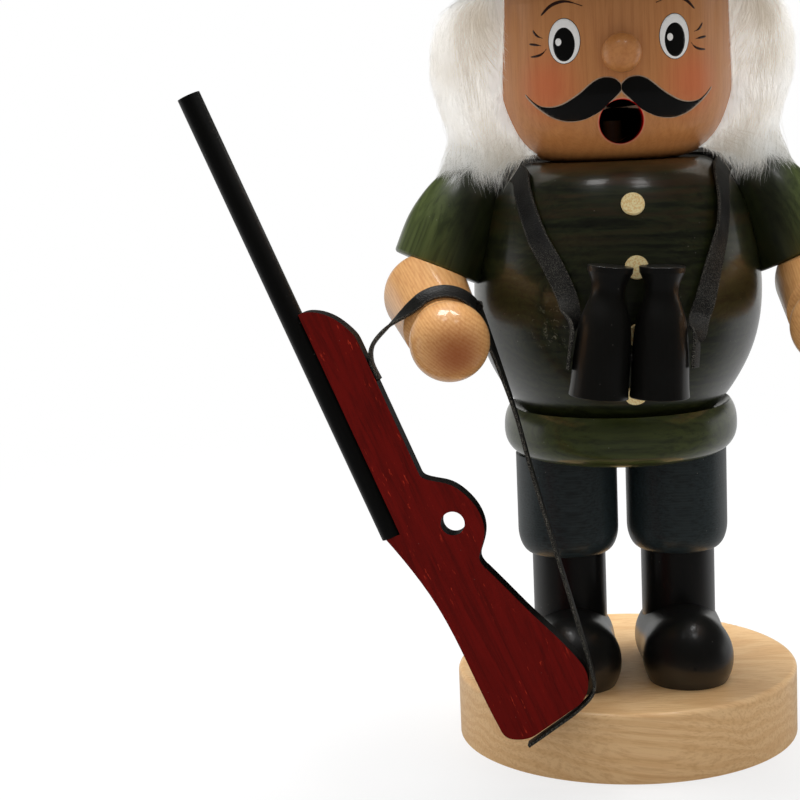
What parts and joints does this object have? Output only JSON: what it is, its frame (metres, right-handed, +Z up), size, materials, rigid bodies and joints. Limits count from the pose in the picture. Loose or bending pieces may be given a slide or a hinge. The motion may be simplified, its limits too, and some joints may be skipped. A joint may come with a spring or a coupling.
{
  "type": "incense smoker",
  "caption": "Turned wooden incense smoker figure of a round huntsman with fur hair, binoculars on a neck strap and a rifle slung over the wrist; the coat lifts off over the incense tray",
  "frame": {"origin": "centre of the base's flat underside", "axes": "+Z up the figure, -Y the way it faces, +X its left side"},
  "size_m": [0.2305, 0.1428, 0.3197],
  "materials": {
    "lacquered_wood": "clear gloss lacquer over pale lime wood",
    "skin_wood": "clear lacquered wood with a painted face",
    "nose_wood": "clear lacquered wood",
    "plain_wood": "bare beech dowel",
    "black_lacquer": "gloss black lacquer on wood",
    "black_satin": "satin black lacquer on wood",
    "trouser_paint": "satin dark blue-grey paint on wood",
    "hem_stain": "olive stain under gloss lacquer",
    "coat_stain": "dark olive stain under gloss lacquer",
    "sleeve_stain": "dark green stain under gloss lacquer",
    "hat_stain": "dark green stain under gloss lacquer",
    "hat_cord": "twisted cotton cord",
    "button_gold": "gold paint on small wooden discs",
    "fur": "long white rabbit fur",
    "black_leather": "thin black leather lace, grey suede at the cut edges",
    "stock_stain": "red-brown stain, satin lacquer, dark cut edges",
    "tray_metal": "stamped sheet",
    "screw_metal": "plain round-head screw"
  },
  "bodies": {
    "stand": {"base_disc": "lacquered_wood", "right_boot": "black_lacquer", "left_boot": "black_lacquer", "right_shoe": "black_lacquer", "left_shoe": "black_lacquer", "right_trouser_leg": "trouser_paint", "left_trouser_leg": "trouser_paint", "right_leg_dowel": "plain_wood", "left_leg_dowel": "plain_wood", "coat_hem": "hem_stain", "incense_tray": "tray_metal", "tray_screw": "screw_metal"},
    "figure": {"coat_body": "coat_stain", "coat_buttons": "button_gold", "neck_tube": "plain_wood", "head": "skin_wood", "nose": "nose_wood", "hat": "hat_stain", "hat_cord": "hat_cord", "hair_fur": "fur", "right_sleeve": "sleeve_stain", "left_sleeve": "sleeve_stain", "right_shoulder_dowel": "plain_wood", "left_shoulder_dowel": "plain_wood", "right_forearm": "lacquered_wood", "left_forearm": "lacquered_wood", "right_elbow_dowel": "plain_wood", "left_elbow_dowel": "plain_wood", "neck_strap": "black_leather"},
    "binoculars": {"right_binocular_tube": "black_satin", "left_binocular_tube": "black_satin", "binocular_dowel": "plain_wood", "right_strap_front": "black_leather", "left_strap_front": "black_leather"},
    "rifle": {"rifle_barrel": "black_satin", "rifle_stock": "stock_stain", "rifle_sling": "black_leather"}
  },
  "joints": [
    {"name": "coat_lift", "type": "slide", "parent": "stand", "child": "figure", "axis": [0, 0, 1], "range_m": [0, 0.08]},
    {"name": "binocular_swing", "type": "hinge", "parent": "figure", "child": "binoculars", "pos_m": [0, -0.029, 0.197], "axis": [-1, 0, 0], "range_deg": [0, 20]},
    {"name": "rifle_swing", "type": "hinge", "parent": "figure", "child": "rifle", "pos_m": [-0.06353, -0.05083, 0.15644], "axis": [0.137, -0.9627, -0.2334], "range_deg": [-12, 5]}
  ]
}
